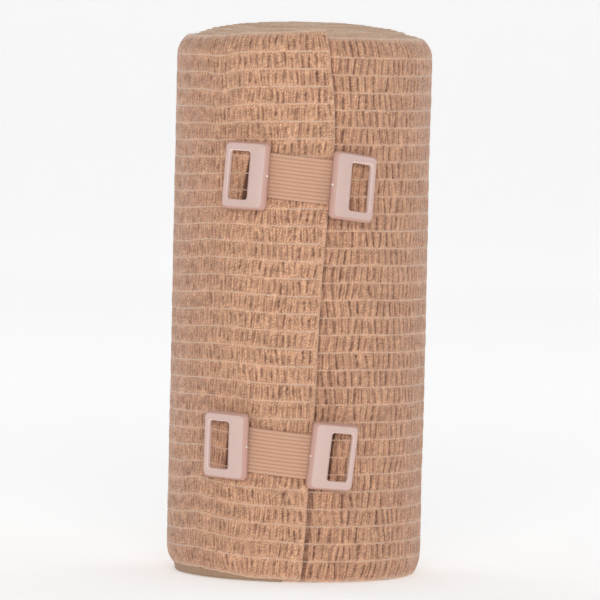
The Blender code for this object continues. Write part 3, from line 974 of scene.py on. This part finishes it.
def wave_node(tree, place):
    """A wave between 0 and 1, one whole wave for each unit of place."""
    wave = math_node(tree, "SINE", math_node(tree, "MULTIPLY", place, 2 * math.pi))
    return math_node(tree, "MULTIPLY_ADD", wave, 0.5, 0.5)


def mix_node(tree, factor, first, second):
    node = tree.nodes.new("ShaderNodeMix")
    node.data_type = "RGBA"
    for index, value in ((0, factor), (6, first), (7, second)):
        link_or_set(tree, node.inputs[index], value)
    return node.outputs[2]


def noise_node(tree, vector, scale, detail=2.0):
    node = tree.nodes.new("ShaderNodeTexNoise")
    node.inputs["Detail"].default_value = detail
    link_or_set(tree, node.inputs["Scale"], scale)
    link_or_set(tree, node.inputs["Vector"], vector)
    return node.outputs["Fac"]


def split_node(tree, vector):
    node = tree.nodes.new("ShaderNodeSeparateXYZ")
    link_or_set(tree, node.inputs[0], vector)
    return node.outputs[0], node.outputs[1], node.outputs[2]


def combine_node(tree, *values):
    node = tree.nodes.new("ShaderNodeCombineXYZ")
    for socket, value in zip(node.inputs, values):
        link_or_set(tree, socket, value)
    return node.outputs[0]


def use_group(tree, group, **values):
    node = tree.nodes.new("ShaderNodeGroup")
    node.node_tree = group
    for title, value in values.items():
        link_or_set(tree, node.inputs[title.replace("_", " ")], value)
    return node.outputs[0]


def strip_place(tree):
    """Where a point lies on the strip: run along it, and level across it."""
    node = tree.nodes.new("ShaderNodeUVMap")
    node.uv_map = "strip"
    return node.outputs["UV"]


def object_place(tree):
    return tree.nodes.new("ShaderNodeTexCoord").outputs["Object"]


def point_value(tree, name):
    node = tree.nodes.new("ShaderNodeAttribute")
    node.attribute_name = name
    return node.outputs["Fac"]


def weave_group():
    """Fine weave on the strip's UV map, as a height for bump."""
    group, inside, outside = new_group(
        "fine_weave",
        (
            ("Vector", "NodeSocketVector", (0.0, 0.0, 0.0)),
            ("Weft Pitch", "NodeSocketFloat", 0.00052),
            ("Warp Pitch", "NodeSocketFloat", 0.00060),
            ("Waver", "NodeSocketFloat", 0.35),
        ),
        (("Height", "NodeSocketFloat"),),
    )
    run, level, _ = split_node(group, inside.outputs["Vector"])
    waver = noise_node(group, inside.outputs["Vector"], 900.0)
    waver = math_node(group, "MULTIPLY", waver, inside.outputs["Waver"])
    waves = []
    for place, pitch in ((run, "Warp Pitch"), (level, "Weft Pitch")):
        place = math_node(group, "DIVIDE", place, inside.outputs[pitch])
        waves.append(wave_node(group, math_node(group, "ADD", place, waver)))
    height = math_node(group, "MULTIPLY", waves[0], waves[1])
    height = math_node(group, "ADD", height, math_node(group, "MULTIPLY", waves[0], 0.6))
    group.links.new(height, outside.inputs["Height"])
    return group


def stitch_group():
    """The stitches that each rib is made of, up the strip's UV map: a mask of the gaps between them."""
    group, inside, outside = new_group(
        "rib_stitches",
        (("Vector", "NodeSocketVector", (0.0, 0.0, 0.0)), ("Pitch", "NodeSocketFloat", 0.0005)),
        (("Gap", "NodeSocketFloat"),),
    )
    vector = inside.outputs["Vector"]
    run, level, _ = split_node(group, vector)
    along_rib = combine_node(group, run, math_node(group, "MULTIPLY", level, 0.25))
    waver = math_node(group, "MULTIPLY", noise_node(group, along_rib, 1500.0, 1.0), 4.0)
    place = math_node(group, "DIVIDE", level, inside.outputs["Pitch"])
    gap = wave_node(group, math_node(group, "ADD", place, waver))
    strength = math_node(group, "MULTIPLY_ADD", noise_node(group, vector, 480.0), 2.4, -0.5, clamp=True)
    group.links.new(math_node(group, "MULTIPLY", gap, strength), outside.inputs["Gap"])
    return group


def tone_group():
    """Lightens and darkens a colour by soft patches and fine specks."""
    group, inside, outside = new_group(
        "uneven_tone",
        (
            ("Colour", "NodeSocketColor", (0.5, 0.5, 0.5, 1.0)),
            ("Vector", "NodeSocketVector", (0.0, 0.0, 0.0)),
            ("Patch Scale", "NodeSocketFloat", 90.0),
            ("Speck Scale", "NodeSocketFloat", 1500.0),
            ("Amount", "NodeSocketFloat", 0.15),
        ),
        (("Colour", "NodeSocketColor"),),
    )
    total = 0.0
    for title, share in (("Patch Scale", PATCH_SHARE), ("Speck Scale", 1.0)):
        noise = noise_node(group, inside.outputs["Vector"], inside.outputs[title], 3.0)
        part = math_node(group, "SUBTRACT", noise, 0.5)
        total = math_node(group, "ADD", math_node(group, "MULTIPLY", part, share), total)
    change = math_node(group, "MULTIPLY", total, inside.outputs["Amount"])
    tone = group.nodes.new("ShaderNodeHueSaturation")
    group.links.new(math_node(group, "ADD", change, 1.0), tone.inputs["Value"])
    group.links.new(inside.outputs["Colour"], tone.inputs["Color"])
    group.links.new(tone.outputs["Color"], outside.inputs["Colour"])
    return group


WEAVE = weave_group()
STITCHES = stitch_group()
TONE = tone_group()


def start_material(name, roughness, sheen=0.0):
    material = bpy.data.materials.new(name)
    material.use_nodes = True
    tree = material.node_tree
    shader = tree.nodes["Principled BSDF"]
    shader.inputs["Roughness"].default_value = roughness
    shader.inputs["Sheen Weight"].default_value = sheen
    shader.inputs["Sheen Roughness"].default_value = 0.45
    return material, tree, shader


def add_bump(tree, shader, height, distance):
    bump = tree.nodes.new("ShaderNodeBump")
    bump.inputs["Distance"].default_value = distance
    bump.inputs["Strength"].default_value = 1.0
    tree.links.new(height, bump.inputs["Height"])
    tree.links.new(bump.outputs["Normal"], shader.inputs["Normal"])


def fabric_material():
    """Tan elastic crepe: ribs of small stitches, painted shade in its furrows, stitch gaps and creases, a
    pale line along each thread.
    """
    material, tree, shader = start_material("elastic_crepe", 0.92, 0.35)
    strip = strip_place(tree)
    run, level, _ = split_node(tree, strip)
    stretched = combine_node(tree, run, math_node(tree, "MULTIPLY", level, 0.4))
    rib_share = math_node(tree, "MULTIPLY_ADD", noise_node(tree, stretched, 1150.0), 3.0, -1.0, clamp=True)
    yarn = mix_node(tree, rib_share, FABRIC_PINK, FABRIC_COLOUR)
    turns = math_node(tree, "DIVIDE", run, outer_turn_length())
    near_end = math_node(tree, "MULTIPLY_ADD", turns, FLAP_RAMP, -FLAP_RAMP * FLAP_START, clamp=True)
    yarn = mix_node(tree, math_node(tree, "MULTIPLY", near_end, FLAP_TINT), yarn, FLAP_COLOUR)
    base = use_group(tree, TONE, Colour=yarn, Vector=strip, Patch_Scale=150.0, Speck_Scale=2700.0, Amount=1.7)
    # Painted shade in the fine furrows between the ribs, then in the gaps between the stitches.
    furrow_shaded = mix_node(tree, point_value(tree, "furrow"), base, GAP_SHADE_COLOUR)
    gap = use_group(tree, STITCHES, Vector=strip, Pitch=STITCH_PITCH)
    stitch_shaded = mix_node(tree, math_node(tree, "MULTIPLY", gap, STITCH_SHADE_STRENGTH), furrow_shaded, GAP_SHADE_COLOUR)
    # Painted shade in the creases, broken up by noise.
    depth = math_node(tree, "POWER", point_value(tree, "crease"), 0.75)
    broken = math_node(tree, "MULTIPLY_ADD", noise_node(tree, strip, 1700.0, 1.0), 1.5, 0.25)
    depth = math_node(tree, "MULTIPLY", depth, broken, clamp=True)
    crease_shaded = mix_node(tree, depth, stitch_shaded, CREASE_SHADE_COLOUR)
    place = math_node(tree, "DIVIDE", math_node(tree, "SUBTRACT", level, THREAD_MARGIN), THREAD_PITCH)
    off_thread = math_node(tree, "PINGPONG", place, 0.5)
    near_thread = math_node(tree, "LESS_THAN", off_thread, THREAD_TINT_REACH)
    pale = mix_node(tree, math_node(tree, "MULTIPLY", near_thread, THREAD_TINT), crease_shaded, THREAD_COLOUR)
    from_middle = math_node(tree, "ABSOLUTE", math_node(tree, "SUBTRACT", level, STRIP_WIDTH / 2))
    selvage = math_node(tree, "GREATER_THAN", from_middle, STRIP_WIDTH / 2 - SELVAGE_LINE)
    edged = mix_node(tree, math_node(tree, "MULTIPLY", selvage, SELVAGE_TINT), pale, SELVAGE_COLOUR)
    tree.links.new(edged, shader.inputs["Base Color"])
    add_bump(tree, shader, math_node(tree, "SUBTRACT", noise_node(tree, strip, 2600.0), gap), 0.00008)
    return material


def turns_material():
    """The inner turns: the same fabric, paler on its selvages, with soft streaks round the roll, painted
    shade on their lower part and in the dips of their edges.
    """
    material, tree, shader = start_material("wound_crepe", 0.95, 0.10)
    strip = strip_place(tree)
    place = object_place(tree)
    across, deep, up = split_node(tree, place)
    from_axis = tree.nodes.new("ShaderNodeVectorMath")
    from_axis.operation = "DISTANCE"
    tree.links.new(combine_node(tree, across, deep), from_axis.inputs[0])
    from_axis.inputs[1].default_value = tuple(AXIS)
    slants = [math_node(tree, "MULTIPLY", part, 0.06) for part in (across, deep)]
    round_axis = combine_node(tree, from_axis.outputs["Value"], *slants)
    streak = math_node(tree, "MULTIPLY_ADD", noise_node(tree, round_axis, 900.0), 3.0, -1.15, clamp=True)
    streaked = mix_node(tree, streak, TURNS_COLOUR, SELVAGE_COLOUR)
    # Painted shade on the lower part, which shows under the outermost turn's raised bottom edge.
    low = math_node(tree, "LESS_THAN", up, STRIP_WIDTH / 4)
    streaked = mix_node(tree, low, streaked, LOW_TURNS_SHADE_COLOUR)
    base = use_group(
        tree, TONE, Colour=streaked, Vector=strip, Patch_Scale=160.0, Speck_Scale=1900.0, Amount=0.5,
    )
    crease_shaded = mix_node(tree, point_value(tree, "crease"), base, CREASE_SHADE_COLOUR)
    tree.links.new(crease_shaded, shader.inputs["Base Color"])
    add_bump(tree, shader, use_group(tree, WEAVE, Vector=strip), 0.00006)
    return material


def thread_material():
    material, tree, shader = start_material("pale_thread", 0.85, 0.3)
    place = object_place(tree)
    base = use_group(
        tree, TONE, Colour=THREAD_COLOUR, Vector=place, Patch_Scale=260.0, Speck_Scale=2200.0, Amount=0.5,
    )
    tree.links.new(base, shader.inputs["Base Color"])
    add_bump(tree, shader, noise_node(tree, place, 3200.0), 0.00008)
    return material


def band_material():
    """Ribbed elastic webbing, with painted shade in its grooves and in the hollows of its knit."""
    material, tree, shader = start_material("ribbed_webbing", 0.8, 0.25)
    strip = strip_place(tree)
    weave = use_group(tree, WEAVE, Vector=strip, Warp_Pitch=0.00036, Weft_Pitch=0.00034, Waver=0.2)
    base = use_group(
        tree, TONE, Colour=BAND_COLOUR, Vector=strip, Patch_Scale=200.0, Speck_Scale=2400.0, Amount=0.25,
    )
    # Painted shade in the grooves.
    depth = math_node(tree, "MULTIPLY", point_value(tree, "groove"), 0.7)
    tree.links.new(mix_node(tree, depth, base, GROOVE_SHADE_COLOUR), shader.inputs["Base Color"])
    add_bump(tree, shader, weave, 0.00004)
    return material


def plastic_material(name, colour, roughness):
    """Satin moulded plastic with a faint grain and slightly rubbed tone."""
    material, tree, shader = start_material(name, roughness)
    place = object_place(tree)
    base = use_group(
        tree, TONE, Colour=colour, Vector=place, Patch_Scale=220.0, Speck_Scale=1600.0, Amount=0.10,
    )
    tree.links.new(base, shader.inputs["Base Color"])
    add_bump(tree, shader, noise_node(tree, place, 2400.0, 4.0), 0.000012)
    return material


def stage_material():
    """Pale paper that glows a little, and more the further back it is."""
    material, tree, shader = start_material("pale_paper", 0.9)
    deep = split_node(tree, object_place(tree))[1]
    back = math_node(tree, "MULTIPLY_ADD", deep, 0.62, -0.2, clamp=True)
    glow = mix_node(tree, back, STAGE_GLOW_NEAR, STAGE_GLOW_FAR)
    shader.inputs["Base Color"].default_value = STAGE_COLOUR
    tree.links.new(glow, shader.inputs["Emission Color"])
    shader.inputs["Emission Strength"].default_value = STAGE_GLOW
    shader.inputs["Specular IOR Level"].default_value = 0.0
    return material


# Putting the pieces together.

def finish_piece(thing, material, slot, *nodes):
    if material is not None:
        thing.data.materials.clear()
        thing.data.materials.append(material)
    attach(thing, "root")
    if nodes:
        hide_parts(*nodes)


def build_bandage():
    """The roll: stretches of the outermost turn, the turns inside it, and the pale threads."""
    crepe = fabric_material()
    for name, start, end, step, points_per_row in OUTER_STRETCHES:
        sheet = outer_sheet(name, start, end, step, points_per_row, name == "outer_turn_free_end")
        flip_if_inside_out(sheet)
        finish_piece(sheet, crepe, "elastic_fabric")
    turns = inner_turns("wound_inner_turns", INNER_STEP)
    flip_if_inside_out(turns)
    finish_piece(turns, turns_material(), "elastic_fabric", "bandage_roll")
    threads = thread_tubes("strip_threads", THREAD_START, THREAD_STEP, THREAD_SIDES)
    flip_if_inside_out(threads)
    finish_piece(threads, thread_material(), "elastic_fabric")


def build_clips():
    """Four frames copied from one, and the two bands between them."""
    plastic = plastic_material("frame_plastic", FRAME_COLOUR, 0.42)
    # A darker copy of the plastic for the bevels and sides, as painted shade.
    shaded_edge_plastic = plastic_material("frame_plastic_shaded_sides", FRAME_SHADED_EDGE_COLOUR, 0.50)
    # A paler copy of the plastic, as painted light on the window walls and some band-side bevels.
    lit_side_plastic = plastic_material("frame_plastic_lit_side", FRAME_LIT_SIDE_COLOUR, 0.45)
    pale_dot_plastic = plastic_material("pale_dot_finish", PALE_DOT_COLOUR, 0.3)
    webbing = band_material()
    pattern = model_frame()
    # Slot 0 is the face; painted shade goes on the sides and the band side, painted light on the window
    # walls.
    for material in (plastic, shaded_edge_plastic, shaded_edge_plastic, lit_side_plastic):
        pattern.data.materials.append(material)
    on_face, on_side, on_band_side, in_window_wall = range(4)
    window_middle = THIN_BAR + WINDOW_WIDTH / 2 - FRAME_WIDTH / 2
    for face in pattern.data.polygons:
        in_width = abs(face.center.x - window_middle) < WINDOW_WIDTH / 2 + 0.5 * WINDOW_BEVEL
        in_window = in_width and abs(face.center.z) < (WINDOW_HEIGHT + WINDOW_BEVEL) / 2
        beside_band = face.normal.x > 0.3 and face.center.x > FRAME_WIDTH / 2 - FRAME_BEVEL
        if face.normal.y < -0.97:
            face.material_index = on_face
        elif in_window:
            face.material_index = in_window_wall
        else:
            face.material_index = on_band_side if beside_band else on_side
    add_pale_dot(pattern, pale_dot_plastic)
    bpy.ops.object.shade_smooth_by_angle(angle=math.radians(28))
    anchors = {}
    leans = {}
    for clip, side, azimuth, height_share, lean, yaw, tilt in FRAME_PLACES:
        height = height_share * STRIP_WIDTH
        seat = seat_frame(azimuth, height, yaw, tilt)
        node = f"{clip}_clip_{side}_frame"
        copy = bpy.data.objects.new(f"{node}_moulded", pattern.data.copy())
        bpy.context.scene.collection.objects.link(copy)
        copy.data.transform(frame_matrix(*seat, height, lean, tilt, side))
        # These frames get painted light on the bevel next to the band.
        if (clip, side) in LIT_BAND_SIDES:
            copy.data.materials[on_band_side] = lit_side_plastic
        finish_piece(copy, None, "frame_plastic", node)
        anchors[clip, side] = band_anchor(seat, height, lean, side, BAND_RISE[clip])
        leans[clip, side] = lean
    bpy.data.objects.remove(pattern)
    for clip in ("upper", "lower"):
        node = f"{clip}_clip_strap"
        ends = (anchors[clip, "left"], anchors[clip, "right"], leans[clip, "left"], leans[clip, "right"])
        band, length = model_band(f"{node}_webbing", *ends)
        flip_if_inside_out(band)
        finish_piece(band, webbing, "ribbed_elastic", node)


def build_stage():
    """A pale floor that curves up into a pale backdrop."""
    profile = [(STAGE_FRONT, 0.0), (STAGE_BEND_START, 0.0)]
    for i in range(1, 13):
        angle = math.radians(90.0 * i / 12)
        back = STAGE_BEND_START + STAGE_BEND_RADIUS * math.sin(angle)
        profile.append((back, STAGE_BEND_RADIUS * (1.0 - math.cos(angle))))
    profile.append((STAGE_BEND_START + STAGE_BEND_RADIUS, STAGE_TOP))
    sides = (-STAGE_HALF_WIDTH, STAGE_HALF_WIDTH)
    points = np.array([(x, y, z - STAGE_DROP) for y, z in profile for x in sides])
    faces = [(2 * i, 2 * i + 1, 2 * i + 3, 2 * i + 2) for i in range(len(profile) - 1)]
    paper = mesh_object("paper_sweep", points, faces)
    paper.data.materials.append(stage_material())


def add_lamp(name, place, size, power):
    lamp = bpy.data.lights.new(name, "AREA")
    lamp.shape = "RECTANGLE"
    lamp.size, lamp.size_y = size
    lamp.energy = power
    thing = bpy.data.objects.new(name, lamp)
    bpy.context.scene.collection.objects.link(thing)
    thing.location = place
    thing.rotation_euler = (Vector(LAMP_AIM) - Vector(place)).to_track_quat("-Z", "Y").to_euler()


def build_light():
    """Broad soft lamps in front of the roll, beside, behind and above it, and a pale surrounding."""
    for lamp in LAMPS:
        add_lamp(*lamp)
    world = bpy.data.worlds.new("pale_room")
    bpy.context.scene.world = world
    world.use_nodes = True
    background = world.node_tree.nodes["Background"]
    background.inputs["Color"].default_value = (1.0, 1.0, 1.0, 1.0)
    background.inputs["Strength"].default_value = ROOM_GLOW
    bpy.context.scene.view_settings.view_transform = "Standard"


def build_camera():
    """Level with the roll's top and a little rolled, so that the roll leans right in the picture."""
    place = AXIS + Vector((0.0, -CAMERA_DISTANCE, CAMERA_HEIGHT))
    forward = (AXIS + Vector(CAMERA_AIM) - place).normalized()
    level_right = forward.cross(Vector((0.0, 0.0, 1.0))).normalized()
    level_up = level_right.cross(forward)
    roll = math.radians(CAMERA_ROLL)
    right = level_right * math.cos(roll) + level_up * math.sin(roll)
    up = level_up * math.cos(roll) - level_right * math.sin(roll)
    data = bpy.data.cameras.new("photo_camera")
    data.lens = CAMERA_LENS
    data.sensor_width = 36.0
    data.clip_start = 0.05
    data.clip_end = 20.0
    camera = bpy.data.objects.new("photo_camera", data)
    bpy.context.scene.collection.objects.link(camera)
    camera.matrix_world = Matrix.Translation(place) @ Matrix((right, up, -forward)).transposed().to_4x4()
    bpy.context.scene.camera = camera


build_camera()
build_stage()
build_light()
build_bandage()
build_clips()
